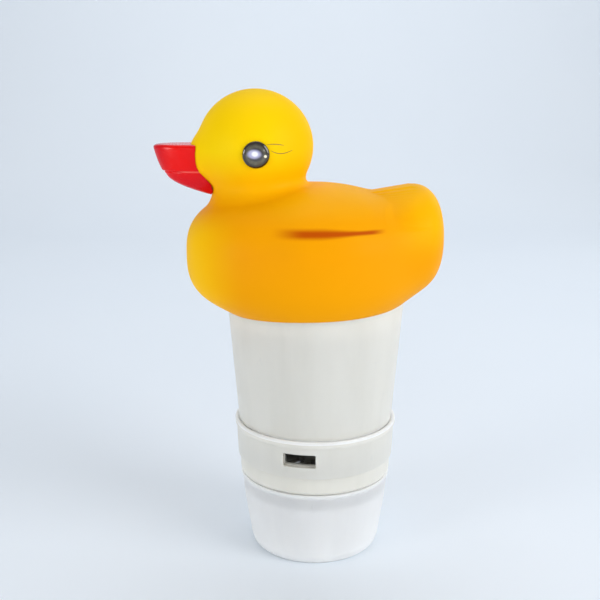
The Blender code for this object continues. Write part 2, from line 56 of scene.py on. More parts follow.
# Duck: the CAD's own masses, as (centre, radii)
HEAD = ((-0.0282, 0.0, 0.1977), (0.0269, 0.0261, 0.0261))
NECK = ((-0.0262, 0.0, 0.1731), (0.0226, 0.0226, 0.0142))
BODY = ((-0.0053, 0.0, 0.1483), (0.0558, 0.0490, 0.0292))
BELLY = ((-0.0001, 0.0, 0.1398), (0.0359, 0.0423, 0.0334))
TAIL = ((0.0463, 0.0, 0.1571), (0.0130, 0.0300, 0.0225))
BODY_PLAN_POWER, BODY_HEIGHT_POWER, TAIL_POWER = 2.3, 2.82, 2.44
BELLY_BLEND, TAIL_BLEND, NECK_BLEND, HEAD_BLEND = 0.0180, 0.0140, 0.0054, 0.0055
BILL_ROOT = ((-0.0450, 0.0, 0.1930), (0.0135, 0.0120, 0.0095))
ROOT_POWER, ROOT_BLEND = 3.0, 0.0065
SKIN_CENTRE = (-0.0245, 0.0, 0.166)
SKIN_REACH, SKIN_WALL = 0.13, 0.0021
SKIN_PROXY = ((0.0, 0.0, 0.160), (0.064, 0.050, 0.046))
SKIN_CELLS, SKIN_HALVINGS, SKIN_RELAX, HALVING_RELAX = 17, 2, 24, 4
SIGHT_HALVINGS = 24

# Wing: its top edge is a creased line that rises a little to the tail
CREASE_Z, CREASE_RISE = 0.1644, 0.002
WING_TIP_X, WING_TIP_SOFT, WING_CORNER = 0.0345, 0.40, 0.0060
WING_SWELL, WING_EDGE, GROOVE_DEEP, GROOVE_HALF = 0.0017, 0.0020, 0.0007, 0.0008
WING_FADE_Z, WING_FADE_HIGH, WING_FADE_X, WING_FADE_LONG = 0.1400, 0.0190, -0.0240, 0.0200
CREASE_REACHES, CREASE_INNER_Y, CREASE_AHEAD = (0.0050, 0.0028), 0.02, 0.004

# Duck's mouth: a recess for the lid, under a shelf with a hole in it
RECESS_RADIUS, RECESS_Z, MOUTH_RADIUS = 0.0434, 0.1346, 0.0270
SHELF_RADIUS, SHELF_THICK = 0.0468, 0.0022

# Bill
BILL = ((-0.0555, 0.0, 0.1988), (0.0204, 0.0115, 0.0271))
BILL_POWER, BILL_TOP_BLEND, BILL_LEAN = 2.21, 0.0018, 0.203
CHIN_X, CHIN_Z, CHIN_SLOPE, CHIN_BLEND = -0.0600, 0.1787, 0.336, 0.0025
MOUTH_Z, MOUTH_STEP, LIP_OVERHANG, MOUTH_DEEP, MOUTH_HALF = 0.1863, 0.0010, 0.0004, 0.0005, 0.0004
BILL_CENTRE = (-0.0600, 0.0, 0.1885)
BILL_PROXY = ((-0.0600, 0.0, 0.1880), (0.0150, 0.0130, 0.0100))
BILL_CELLS, BILL_RELAX, BILL_HALVINGS, BILL_HALVING_RELAX = 12, 8, 2, 2
BILL_PEG = ((-0.06, 0.0, 0.1900), (-0.0460, 0.0, 0.1900), 0.0040)

# Eyes. A lash runs through three points, in millimetres from the eye's centre, and its section
# is (share of the half width, share of the lift)
EYE_X, EYE_Z, EYE_RADIUS = -0.0268, 0.1956, 0.0059
EYE_RIM_THICK, EYE_DOME, EYE_SIDES, EYE_RINGS = 0.0006, 0.0011, 72, 14
EYE_BEAD_HIGH, EYE_BEAD_AT, EYE_BEAD_HALF, EYE_SKIRT = 0.00018, 0.9, 0.06, 1.015
EYE_PEG_RADIUS, EYE_PEG_END = 0.0015, 0.0215
LASHES = (((4.8, 4.4), (8.5, 4.5), (12.3, 3.9)), ((6.6, 1.8), (11.0, 0.4), (16.2, 1.8)))
LASH_HALF, LASH_LIFT, LASH_STEPS, LASH_TIP = 0.00028, 0.00012, 25, 0.15
LASH_SECTION = ((-1, -0.5), (-0.6, 1), (0.6, 1), (1, -0.5))

# Canister, collar and cup, as in the CAD
RIM_Z, RIM_RADIUS = 0.1285, 0.0427
SHOULDER_Z, SHOULDER_RADIUS = 0.0660, 0.0376
SHOULDER_IN, SHOULDER_DROP, BORE_RAMP = 0.0003, 0.0005, 0.002
THREAD_FLOOR_Z, THREAD_WALL, CANISTER_WALL = 0.1160, 0.0392, 0.0020
NECK_RADIUS, NECK_BORE = 0.0364, 0.0344
FLANGE_TOP_Z, FLANGE_FOOT_Z, FLANGE_RADIUS = 0.0472, 0.0389, 0.0371
FLANGE_CUT_IN, FLANGE_CUT_UP = 0.0006, 0.0012
LEDGE_Z, TURNED_SOFT, COLLAR_SOFT = 0.0420, 0.0004, 0.0005
SKIRT_RADIUS, SKIRT_BORE, SKIRT_FOOT_Z = 0.0344, 0.0326, 0.0310
SNAP_Z, SNAP_HALF, SNAP_HEIGHT = 0.0342, 0.0008, 0.00055
LEAD, THREAD_START, THREAD_TURN = 0.008, math.radians(20), math.radians(330)
FEMALE_Z, FEMALE_CREST, RIB_ROOT, RIB_CREST = 0.1198, 0.0379, 0.0016, 0.0008
THREAD_RAMP, RIB_BITE = 0.001, 0.0005
COLLAR_BORE, COLLAR_FOOT_Z, COLLAR_TOP_Z = 0.03675, 0.0475, 0.0652
COLLAR_LIP_Z, COLLAR_LIP_BORE = 0.0662, 0.0380
COLLAR_FOOT_RADIUS, COLLAR_WAIST_RADIUS, BEAD_RADIUS = 0.03825, 0.0389, 0.0396
BEAD_IN, BEAD_DOWN, BEAD_FOOT_DOWN, WAIST_DOWN = 0.0004, 0.0008, 0.0016, 0.0026
WINDOW_COUNT, WINDOW_TURN, WINDOW_Z = 3, math.radians(-12), 0.0564
WINDOW_SIZE, PORT_SIZE, WINDOW_CORNER = (0.0156, 0.0066), (0.0146, 0.0056), 0.0007
WINDOW_TOOL_DEEP, WINDOW_CORNER_STEPS = 0.008, 4
CUP_LIP_Z, CUP_LIP_RADIUS = 0.0385, 0.0369
CUP_SIDE = ((0.0369, 0.0369), (0.0363, 0.0363), (0.0352, 0.0243), (0.0330, 0.0105))
CUP_FOOT = ((0.0321, 0.0045), (0.0311, 0.0014), (0.0295, 0.0))
CUP_WALL_BEND, CUP_SHELF_BORE = (0.0332, 0.0243), 0.0336
CUP_BORE, CUP_SHELF_Z, CUP_FLOOR_Z = 0.03475, 0.0306, 0.0025
SEAT_Z, SEAT_BORE, WELL_BORE, COVER_TOP_Z = 0.0089, 0.0307, 0.0289, 0.0123
POST_RADIUS, POST_TOP_Z, POST_HOLE_Z, POST_BORE = 0.0055, 0.0102, 0.0042, 0.00165

# Spray on the duck, as (share of the height, colour) and as patches over it, each with where it
# fades in along X and in height, its strength and its colour. The crease's shadow lies just below
# it, and its half height changes along the wing
SPRAY_FOOT_Z, SPRAY_TOP_Z = 0.118, 0.226
SPRAY = (
    (0.00, (242, 161, 0)),
    (0.25, (245, 160, 0)),
    (0.45, (246, 164, 0)),
    (0.66, (252, 188, 0)),
    (0.82, (253, 212, 2)),
    (1.00, (254, 208, 2)),
)
SPRAY_PATCHES = (
    ((-0.030, -0.058), (0.176, 0.160), 0.8, (255, 203, 4)),
    ((0.030, 0.050), (0.148, 0.166), 0.7, (254, 187, 0)),
    ((-0.024, -0.004), (0.176, 0.188), 0.6, (254, 188, 0)),
)
SHADE_BELOW, SHADE_HALVES = 0.0004, (0.0030, 0.0014)

# Print on the eye, as (centre and radii in millimetres, softness, colour)
EYE_IRIS = ((0.0, 0.0), (4.5, 4.5), 0.14)
EYE_SPOTS = (
    ((0.1, 0.2), (3.3, 2.9), 0.22, (58, 56, 60)),
    ((-0.7, 0.4), (2.9, 1.9), 0.30, (178, 178, 214)),
    ((-0.4, 0.5), (1.4, 1.1), 0.40, (250, 250, 255)),
    ((4.2, -0.6), (0.62, 0.62), 0.35, (252, 246, 214)),
)

# White plastics, as (flow marks' pale tone, their darker tone, foot and top of a painted highlight)
WARM_WHITE = ((236, 232, 219), (230, 226, 213), (0.0650, 0.0664))
COOL_WHITE = ((252, 251, 247), (247, 246, 243), (0.0374, 0.0385))
# Softness of the painted highlight band's foot and top
HIGHLIGHT_SOFT = 0.0004

# Studio. A light is (name, place, aim, size, watts, colour)
FLOOR_REACH, SWEEP_Y, SWEEP_RADIUS, WALL_TOP_Z = 4.0, 0.9, 0.7, 2.6
AIM, NEUTRAL = (0.0, 0.0, 0.12), (1.0, 1.0, 1.0)
LIGHTS = (
    ("key", (0.92, -0.58, 0.48), AIM, 0.8, 7.8, NEUTRAL),
    ("fill", (-0.90, -0.65, 0.22), AIM, 0.4, 3.7, (1.0, 0.99, 0.97)),
    ("front", (-0.35, -1.10, 0.26), AIM, 0.5, 0.6, NEUTRAL),
    ("wash", (0.0, 0.55, 1.35), (0.0, 1.35, 0.10), 1.2, 7.0, NEUTRAL),
    ("top", (-0.20, -0.20, 1.10), AIM, 0.6, 0.4, NEUTRAL),
    ("back", (0.60, 0.80, 0.60), AIM, 0.6, 0.4, NEUTRAL),
)
WORLD_COLOUR, WORLD_STRENGTH = (0.95, 0.97, 1.0, 1.0), 0.42
CAMERA_PLACE, CAMERA_PITCH = (-0.0075, -0.430, 0.228), math.radians(76.4)
LENS, SENSOR = 54.84, 36.0


# Materials


def srgb(red, green, blue):
    """A linear colour from 0-255 display values."""
    shares = (value / 255 for value in (red, green, blue))
    return (*(s / 12.92 if s < 0.04045 else ((s + 0.055) / 1.055) ** 2.4 for s in shares), 1.0)


class Look:
    """A material, with short ways to add the nodes of its pattern."""

    def __init__(self, name, roughness, **sockets):
        self.material = bpy.data.materials.new(name)
        self.material.use_nodes = True
        self.tree = self.material.node_tree
        self.shader = self.tree.nodes["Principled BSDF"]
        self.set("Roughness", roughness)
        for socket, value in sockets.items():
            self.set(socket.replace("_", " "), value)
        coords = self.tree.nodes.new("ShaderNodeTexCoord")
        self.place = coords.outputs["Object"]
        split = self.node("SeparateXYZ", self.place)
        self.x, self.y, self.z = split.outputs

    def set(self, socket, value):
        self.put(self.shader.inputs[socket], value)

    def put(self, socket, value):
        if isinstance(value, bpy.types.NodeSocket):
            self.tree.links.new(value, socket)
        else:
            socket.default_value = value

    def node(self, kind, *values, **settings):
        made = self.tree.nodes.new("ShaderNode" + kind)
        for name, value in settings.items():
            setattr(made, name, value)
        for socket, value in zip(made.inputs, values):
            self.put(socket, value)
        return made

    def math(self, operation, *values, clamp=False):
        return self.node("Math", *values, operation=operation, use_clamp=clamp).outputs[0]

    def size(self, value):
        return self.math("ABSOLUTE", value)

    def fade(self, value, start, end):
        """0 at start, 1 at end, smooth between."""
        made = self.node("MapRange", value, start, end, 0.0, 1.0, interpolation_type="SMOOTHSTEP")
        return made.outputs[0]

    def times(self, *values):
        found = values[0]
        for value in values[1:]:
            found = self.math("MULTIPLY", found, value)
        return found

    def noise(self, scale, detail=3.0, stretch=(1.0, 1.0, 1.0)):
        """Noise from 0 to 1 in object space. Scale is in features per metre."""
        mapped = self.node("Mapping", self.place)
        mapped.inputs["Scale"].default_value = stretch
        made = self.node("TexNoise")
        self.put(made.inputs["Vector"], mapped.outputs[0])
        self.put(made.inputs["Scale"], scale)
        self.put(made.inputs["Detail"], detail)
        return made.outputs[0]

    def mix(self, factor, first, second):
        made = self.node("Mix", data_type="RGBA")
        for index, value in ((0, factor), (6, first), (7, second)):
            self.put(made.inputs[index], value)
        return made.outputs[2]

    def ramp(self, factor, stops):
        made = self.node("ValToRGB", factor)
        points = made.color_ramp.elements
        while len(points) < len(stops):
            points.new(0.5)
        for point, (position, colour) in zip(points, stops):
            point.position, point.color = position, colour
        return made.outputs[0]

    def between(self, factor, low, high):
        """A number that runs from low to high as the factor runs from 0 to 1."""
        return self.node("MapRange", factor, 0.0, 1.0, low, high).outputs[0]

    def bump(self, height, distance, strength=1.0):
        made = self.node("Bump")
        self.put(made.inputs["Strength"], strength)
        self.put(made.inputs["Distance"], distance)
        self.put(made.inputs["Height"], height)
        self.set("Normal", made.outputs[0])


def crease_shade(look):
    """1 in the shadow under the wing's crease, wider at its front end, and 0 away from it."""
    line = look.math("ADD", look.times(look.x, CREASE_RISE), CREASE_Z)
    above = look.math("SUBTRACT", look.z, line)
    off = look.size(look.math("ADD", above, SHADE_BELOW))
    half = look.between(look.fade(look.x, 0.000, 0.020), *SHADE_HALVES)
    near = look.fade(look.math("DIVIDE", off, half), 1.0, 0.15)
    along = look.times(look.fade(look.x, -0.0215, -0.0050), look.fade(look.x, 0.0310, 0.0230))
    flank = look.fade(look.size(look.y), 0.024, 0.032)
    return look.times(near, along, flank)


def duck_look():
    """Soft vinyl sprayed yellow on the head, deeper orange low down; painted shade in the crease.
    """
    look = Look("duck_vinyl", 0.45, Specular_IOR_Level=0.05)
    share = look.fade(look.z, SPRAY_FOOT_Z, SPRAY_TOP_Z)
    cloud = look.noise(34.0, 4.0)
    share = look.math("ADD", share, look.between(cloud, -0.05, 0.05), clamp=True)
    base = look.ramp(share, [(position, srgb(*colour)) for position, colour in SPRAY])
    for across, up, strength, colour in SPRAY_PATCHES:
        patch = look.times(look.fade(look.x, *across), look.fade(look.z, *up), strength)
        base = look.mix(patch, base, srgb(*colour))
    # Painted shade: dark orange in the shadow under the wing's crease
    base = look.mix(look.times(crease_shade(look), 0.95), base, srgb(190, 72, 0))
    look.set("Base Color", base)
    grain = look.noise(900.0, 2.0)
    look.set("Roughness", look.between(look.noise(120.0, 4.0), 0.42, 0.58))
    look.bump(look.math("ADD", grain, look.times(look.noise(160.0), 2.0)), 0.00006, 0.45)
    return look.material


def bill_look():
    """Glossy red paint, darker low down and at the tip, with a painted highlight along the lip."""
    look = Look("bill_vinyl", 0.25, Specular_IOR_Level=0.20, Coat_Weight=0.06, Coat_Roughness=0.1)
    low = look.fade(look.z, 0.190, 0.180)
    tip = look.fade(look.x, -0.066, -0.0745)
    edge = look.math("MAXIMUM", look.times(low, 0.7), look.times(tip, 0.8))
    edge = look.math("ADD", edge, look.between(look.noise(420.0, 3.0), -0.12, 0.12), clamp=True)
    base = look.mix(edge, srgb(238, 6, 2), srgb(206, 0, 28))
    # Painted highlight: a pale pink line just above the mouth, where the lip's edge catches the
    # light
    off_lip = look.size(look.math("SUBTRACT", look.z, MOUTH_Z + 0.0002))
    lip = look.fade(off_lip, 0.0006, 0.0)
    flank = look.fade(look.size(look.y), 0.006, 0.009)
    along = look.times(look.fade(look.x, -0.064, -0.060), flank)
    base = look.mix(look.times(lip, along, 0.75), base, srgb(255, 120, 110))
    look.set("Base Color", base)
    look.set("Roughness", look.between(look.noise(260.0), 0.14, 0.30))
    look.bump(look.noise(700.0, 2.0), 0.00005, 0.6)
    return look.material


def eye_look():
    """A printed bead: dark rim, olive iris, a pale painted glint and a cream dot beside it."""
    look = Look("eye_gloss", 0.12, Coat_Weight=0.8, Coat_Roughness=0.04)
    across = look.math("SUBTRACT", look.x, EYE_X)
    up = look.math("SUBTRACT", look.z, EYE_Z)

    def spot(centre, radii, soft):
        """1 inside an ellipse given in millimetres, falling to 0 at its edge."""
        parts = [
            look.math("DIVIDE", look.math("SUBTRACT", value, c / 1000), r / 1000)
            for value, c, r in zip((across, up), centre, radii)
        ]
        squares = [look.math("POWER", look.size(part), 2.0) for part in parts]
        reach = look.math("SQRT", look.math("ADD", *squares))
        return look.fade(reach, 1.0 + soft, 1.0 - soft)

    mottle = look.noise(900.0, 3.0)
    iris = look.mix(mottle, srgb(66, 62, 48), srgb(108, 106, 88))
    base = look.mix(spot(*EYE_IRIS), srgb(34, 24, 14), iris)
    for *shape, colour in EYE_SPOTS:
        base = look.mix(spot(*shape), base, srgb(*colour))
    look.set("Base Color", base)
    look.set("Roughness", look.between(mottle, 0.08, 0.18))
    look.bump(look.noise(1400.0, 1.0), 0.00002, 0.4)
    return look.material


def lash_look():
    look = Look("lash_paint", 0.5)
    look.set("Base Color", look.mix(look.noise(1500.0), srgb(150, 118, 8), srgb(198, 160, 10)))
    look.set("Roughness", look.between(look.noise(800.0), 0.42, 0.6))
    return look.material


def white_look(name, light, shade, highlight_band):
    """Moulded polypropylene: flow marks up the wall, satin grain, scuffs and one painted highlight.
    """
    look = Look(name, 0.4, Specular_IOR_Level=0.30, Subsurface_Weight=0.7, Subsurface_Scale=0.010)
    look.set("Subsurface Radius", (1.0, 0.96, 0.90))
    flow = look.noise(60.0, 4.0, (1.0, 1.0, 0.16))
    base = look.mix(look.fade(flow, 0.35, 0.65), srgb(*shade), srgb(*light))
    scuffs = look.fade(look.noise(240.0, 5.0, (1.0, 1.0, 0.5)), 0.66, 0.78)
    base = look.mix(look.times(scuffs, 0.20), base, srgb(210, 210, 206))
    # Painted highlight: a pale band between foot and top, along the edge that catches the light
    foot, top = highlight_band
    below = look.fade(look.z, foot - HIGHLIGHT_SOFT, foot)
    painted_highlight = look.times(below, look.fade(look.z, top + HIGHLIGHT_SOFT, top))
    base = look.mix(look.times(painted_highlight, 0.9), base, srgb(255, 255, 251))
    look.set("Base Color", base)
    look.set("Roughness", look.between(look.noise(150.0, 4.0), 0.32, 0.48))
    look.bump(look.math("ADD", look.noise(1300.0, 2.0), look.times(flow, 1.5)), 0.00005, 0.5)
    return look.material


def rubber_look():
    look = Look("seal_rubber", 0.7)
    dust = look.fade(look.noise(500.0, 4.0), 0.5, 0.8)
    look.set("Base Color", look.mix(dust, srgb(24, 24, 25), srgb(52, 51, 50)))
    look.set("Roughness", look.between(look.noise(900.0), 0.55, 0.8))
    look.bump(look.noise(2200.0, 2.0), 0.00004, 0.6)
    return look.material


def steel_look(name, streak):
    look = Look(name, 0.3, Metallic=1.0)
    grain = look.noise(500.0, 3.0, streak)
    look.set("Base Color", look.mix(grain, srgb(168, 170, 172), srgb(206, 206, 204)))
    look.set("Roughness", look.between(grain, 0.22, 0.42))
    look.bump(grain, 0.00003, 0.5)
    return look.material


# Meshes


def add_object(name, bm, look=None):
    """Puts the bmesh in the scene as one piece. Without a look it is a tool for a Boolean."""
    mesh = bpy.data.meshes.new(name)
    bmesh.ops.recalc_face_normals(bm, faces=bm.faces)
    bm.to_mesh(mesh)
    bm.free()
    obj = bpy.data.objects.new(name, mesh)
    bpy.context.scene.collection.objects.link(obj)
    if look:
        mesh.materials.append(look)
    return obj


def carve(obj, tools):
    """Applies each (tool, operation) to the object in turn, and removes the tools."""
    for tool, operation in tools:
        modifier = obj.modifiers.new(tool.name, "BOOLEAN")
        modifier.operation, modifier.solver, modifier.object = operation, "EXACT", tool
    graph = bpy.context.evaluated_depsgraph_get()
    made = bpy.data.meshes.new_from_object(obj.evaluated_get(graph))
    obj.modifiers.clear()
    obj.data = made
    for tool, _ in tools:
        bpy.data.objects.remove(tool)


def drop_twins(obj):
    """Removes the flat pairs of faces that a Boolean leaves back to back, and welds the seams."""
    bm = bmesh.new()
    bm.from_mesh(obj.data)
    bmesh.ops.triangulate(bm, faces=bm.faces)
    groups = {}
    for face in bm.faces:
        corners = frozenset(tuple(round(value, 7) for value in vert.co) for vert in face.verts)
        groups.setdefault(corners, []).append(face)
    twins = [face for group in groups.values() if len(group) > 1 for face in group]
    bmesh.ops.delete(bm, geom=twins, context="FACES")
    bmesh.ops.remove_doubles(bm, verts=bm.verts, dist=TWIN_WELD)
    bm.to_mesh(obj.data)
    bm.free()


def smooth(obj, angle=SHARP_TURNED):
    obj.data.shade_smooth()
    obj.data.set_sharp_from_angle(angle=math.radians(angle))
    return obj


def turned(name, outline, look=None, sides=FINE_SIDES):
    """A closed outline of (radius, height) points turned about Z. Axis points become poles."""
    bm = bmesh.new()
    points = [bm.verts.new((radius, 0.0, height)) for radius, height in outline]
    pairs = zip(range(len(points)), [*range(1, len(points)), 0])
    kept = [(i, j) for i, j in pairs if outline[i][0] > 0 or outline[j][0] > 0]
    edges = [bm.edges.new((points[i], points[j])) for i, j in kept]
    about = {"axis": (0, 0, 1), "cent": (0, 0, 0), "angle": 2 * math.pi}
    bmesh.ops.spin(bm, geom=points + edges, steps=sides, **about)
    bmesh.ops.remove_doubles(bm, verts=bm.verts, dist=WELD)
    return add_object(name, bm, look)


def softened(outline, radius, steps=3):
    """The closed outline with each corner off the axis rounded."""
    points = [Vector(point) for point in outline]
    found = []
    for i, corner in enumerate(points):
        before, after = points[i - 1], points[(i + 1) % len(points)]
        if corner.x == 0:
            found.append(tuple(corner))
            continue
        cut = min(radius, (before - corner).length * 0.45, (after - corner).length * 0.45)
        start = corner + (before - corner).normalized() * cut
        end = corner + (after - corner).normalized() * cut
        for k in range(steps + 1):
            t = k / steps
            found.append(tuple(start * (1 - t) ** 2 + corner * 2 * t * (1 - t) + end * t**2))
    return found


def disc_outline(radius, foot, top):
    return ((0.0, top), (radius, top), (radius, foot), (0.0, foot))


def rod(name, start, end, radius):
    start, end = Vector(start), Vector(end)
    run = end - start
    place = Matrix.Translation((start + end) / 2) @ run.to_track_quat("Z", "Y").to_matrix().to_4x4()
    bm = bmesh.new()
    size = {"radius1": radius, "radius2": radius, "depth": run.length}
    bmesh.ops.create_cone(bm, cap_ends=True, segments=PEG_SIDES, matrix=place, **size)
    return add_object(name, bm)


def loft(bm, loops):
    """Skins a run of rings and closes its two ends."""
    sides = len(loops[0])
    for loop, following in zip(loops, loops[1:]):
        for i in range(sides):
            j = (i + 1) % sides
            bm.faces.new((loop[i], loop[j], following[j], following[i]))
    bm.faces.new(loops[0])
    bm.faces.new(loops[-1])


# Duck skin


def to_mass(points, mass, power=2.0):
    """About the distance to an ellipsoid, negative inside. A power over 2 makes it boxier."""
    centre, radii = (np.array(v) for v in mass)
    scaled = np.abs((points - centre) / radii)
    reach = (scaled**power).sum(-1) ** (1 / power)
    slope = np.linalg.norm(scaled ** (power - 1) / radii, axis=-1)
    slope = slope / np.maximum(reach, TINY) ** (power - 1)
    return (reach - 1) / np.maximum(slope, TINY)


def to_body(points):
    """The same for the duck's body, whose plan and height have their own powers."""
    centre, radii = (np.array(v) for v in BODY)
    x, y, z = np.moveaxis(np.abs((points - centre) / radii), -1, 0)
    plan = (x**BODY_PLAN_POWER + y**BODY_PLAN_POWER + TINY_PLAN) ** (1 / BODY_PLAN_POWER)
    reach = (plan**BODY_HEIGHT_POWER + z**BODY_HEIGHT_POWER) ** (1 / BODY_HEIGHT_POWER)
    share = (plan / reach) ** (BODY_HEIGHT_POWER - 1)
    slope_x = share * (x / plan) ** (BODY_PLAN_POWER - 1) / radii[0]
    slope_y = share * (y / plan) ** (BODY_PLAN_POWER - 1) / radii[1]
    slope_z = (z / reach) ** (BODY_HEIGHT_POWER - 1) / radii[2]
    return (reach - 1) / np.maximum(np.sqrt(slope_x**2 + slope_y**2 + slope_z**2), TINY)


def blended(first, second, width):
    """The union of two shapes, rounded over this width where they meet."""
    overlap = np.maximum(width - np.abs(first - second), 0) / width
    return np.minimum(first, second) - overlap**2 * width / 4


def eased(share):
    share = np.clip(share, 0, 1)
    return share * share * (3 - 2 * share)


def wing_inset(points):
    """How far inside the wing's outline each point is: under the crease and ahead of the tip."""
    x, z = points[..., 0], points[..., 2]
    under = CREASE_Z + CREASE_RISE * x - z
    ahead = (WING_TIP_X - x) * WING_TIP_SOFT
    return -blended(-under, -ahead, WING_CORNER)


def wing_relief(points):
    """How far the wing stands off the flank, less the groove along its top."""
    x, y, z = np.moveaxis(points, -1, 0)
    inset = wing_inset(points)
    fade_down = eased((z - WING_FADE_Z) / WING_FADE_HIGH)
    fade_forward = eased((x - WING_FADE_X) / WING_FADE_LONG)
    flank = eased(np.abs(y) / BODY[1][1])
    groove = GROOVE_DEEP * np.exp(-(((inset + GROOVE_HALF / 2) / GROOVE_HALF) ** 2))
    groove = groove * eased((WING_TIP_X - x) / WING_CORNER)
    return (WING_SWELL * eased(inset / WING_EDGE) * fade_down - groove) * fade_forward * flank


def to_duck(points):
    """About the distance from each point to the duck's skin, negative inside."""
    found = blended(to_body(points), to_mass(points, BELLY), BELLY_BLEND) - wing_relief(points)
    found = blended(found, to_mass(points, TAIL, TAIL_POWER), TAIL_BLEND)
    found = blended(found, to_mass(points, NECK), NECK_BLEND)
    found = blended(found, to_mass(points, HEAD), HEAD_BLEND)
    return blended(found, to_mass(points, BILL_ROOT, ROOT_POWER), ROOT_BLEND)


def to_bill(points):
    """About the distance from each point to the bill, negative inside."""
    centre, radii = (np.array(v) for v in BILL)
    height = points[..., 2]
    upright = points - centre
    upright[..., 0] -= BILL_LEAN * (centre[2] - height)
    reach = (np.abs(upright / radii) ** BILL_POWER).sum(-1) ** (1 / BILL_POWER)
    inset = LIP_OVERHANG * eased((MOUTH_Z - height) / MOUTH_STEP)
    inset = inset + MOUTH_DEEP * np.exp(-(((height - MOUTH_Z) / MOUTH_HALF) ** 2))
    mass = (reach - 1) * radii.min() + inset
    mass = -blended(-mass, centre[2] - height, BILL_TOP_BLEND)
    chin = (CHIN_Z - CHIN_SLOPE * (points[..., 0] - CHIN_X) - height) / np.hypot(1, CHIN_SLOPE)
    return -blended(-mass, -chin, CHIN_BLEND)


def surface_along(field, starts, directions, level):
    """Where the field reaches the level, on the way out from each start."""
    near, far = np.zeros(len(directions)), np.full(len(directions), SKIN_REACH)
    for _ in range(SIGHT_HALVINGS):
        middle = (near + far) / 2
        inside = field(starts + directions * middle[:, None]) < level
        near, far = np.where(inside, middle, near), np.where(inside, far, middle)
    return starts + directions * ((near + far) / 2)[:, None]


class Skin:
    """A closed skin where the field equals the level, seen from a centre inside it."""

    def __init__(self, field, centre, proxy, level, cells):
        self.field, self.centre, self.level = field, np.array(centre), level
        self.bm = bmesh.new()
        bmesh.ops.create_cube(self.bm, size=2.0)
        bmesh.ops.subdivide_edges(self.bm, edges=self.bm.edges, cuts=cells - 1, use_grid_fill=True)
        middle, radii = (np.array(v) for v in proxy)
        cube = np.tan(self.points() * (math.pi / 4))
        ball = cube / np.linalg.norm(cube, axis=1)[:, None]
        self.move(self.on_skin(middle + ball * radii))

    def points(self):
        return np.array([vert.co for vert in self.bm.verts])

    def move(self, points):
        for vert, point in zip(self.bm.verts, points):
            vert.co = point

    def on_skin(self, points):
        sights = points - self.centre
        sights = sights / np.linalg.norm(sights, axis=1)[:, None]
        return surface_along(self.field, self.centre, sights, self.level)

    def relax(self, rounds):
        """Slides the points along the skin until they lie evenly."""
        points = self.points()
        ends = np.array([(edge.verts[0].index, edge.verts[1].index) for edge in self.bm.edges])
        counts = np.bincount(ends.ravel(), minlength=len(points))[:, None]
        for _ in range(rounds):
            sums = np.zeros_like(points)
            np.add.at(sums, ends[:, 0], points[ends[:, 1]])
            np.add.at(sums, ends[:, 1], points[ends[:, 0]])
            points = self.on_skin((points + sums / counts) / 2)
        self.move(points)

    def refine(self, wanted=None):
        """Halves the edges, or those with both ends wanted, and puts the new points on the skin."""
        edges = self.bm.edges
        if wanted is not None:
            marked = wanted(self.points())
            edges = [e for e in edges if marked[e.verts[0].index] and marked[e.verts[1].index]]
        bmesh.ops.subdivide_edges(self.bm, edges=list(edges), cuts=1, use_grid_fill=True)
        self.bm.verts.index_update()
        self.move(self.on_skin(self.points()))

    def finished(self):
        bmesh.ops.triangulate(self.bm, faces=self.bm.faces)
        return self.bm


def duck_skin(level, halvings):
    skin = Skin(to_duck, SKIN_CENTRE, SKIN_PROXY, level, SKIN_CELLS)
    skin.relax(SKIN_RELAX)
    for _ in range(halvings):
        skin.refine()
        skin.relax(HALVING_RELAX)
    return skin


def near_crease(reach):
    """Tells which points lie within the reach of the wing's outline, on either flank."""

    def wanted(points):
        x, y, _ = np.moveaxis(points, -1, 0)
        on_flank = (np.abs(y) > CREASE_INNER_Y) & (x > WING_FADE_X - CREASE_AHEAD)
        return (np.abs(wing_inset(points)) < reach) & on_flank

    return wanted


def make_duck(look):
    skin = duck_skin(0.0, SKIN_HALVINGS)
    for reach in CREASE_REACHES:
        skin.refine(near_crease(reach))
    shell = add_object("duck_shell_fine", skin.finished(), look)
    shelf_top = RECESS_Z + SHELF_THICK
    below = RECESS_Z - TOOL_RUN
    hollow = add_object("hollow", duck_skin(-SKIN_WALL, 0).finished())
    shelf = turned("shelf_keep", disc_outline(SHELF_RADIUS, below, shelf_top))
    carve(hollow, [(shelf, "DIFFERENCE")])
    mouth = turned("mouth", disc_outline(MOUTH_RADIUS, below, shelf_top + GAP))
    recess = turned("recess", disc_outline(RECESS_RADIUS, below, RECESS_Z))
    carve(shell, [(hollow, "DIFFERENCE"), (recess, "DIFFERENCE"), (mouth, "DIFFERENCE")])
    drop_twins(shell)
    return smooth(shell, SHARP_SKIN)


def make_bill(look):
    skin = Skin(to_bill, BILL_CENTRE, BILL_PROXY, 0.0, BILL_CELLS)
    skin.relax(BILL_RELAX)
    for _ in range(BILL_HALVINGS):
        skin.refine()
        skin.relax(BILL_HALVING_RELAX)
    bill = add_object("duck_bill_fine", skin.finished(), look)
    face = add_object("face", duck_skin(GAP, 1).finished())
    carve(bill, [(face, "DIFFERENCE"), (rod("bill_peg", *BILL_PEG), "UNION")])
    drop_twins(bill)
    return smooth(bill, SHARP_SKIN)


def skin_at(across, up, lift, side):
    """Points on the head's side at these heights and distances along X, lifted off the skin."""
    starts = np.stack((across, np.zeros_like(across), up), axis=1)
    outward = np.tile((0.0, 1.0, 0.0), (len(starts), 1))
    found = surface_along(to_duck, starts, outward, lift)
    return found * (1, side, 1)


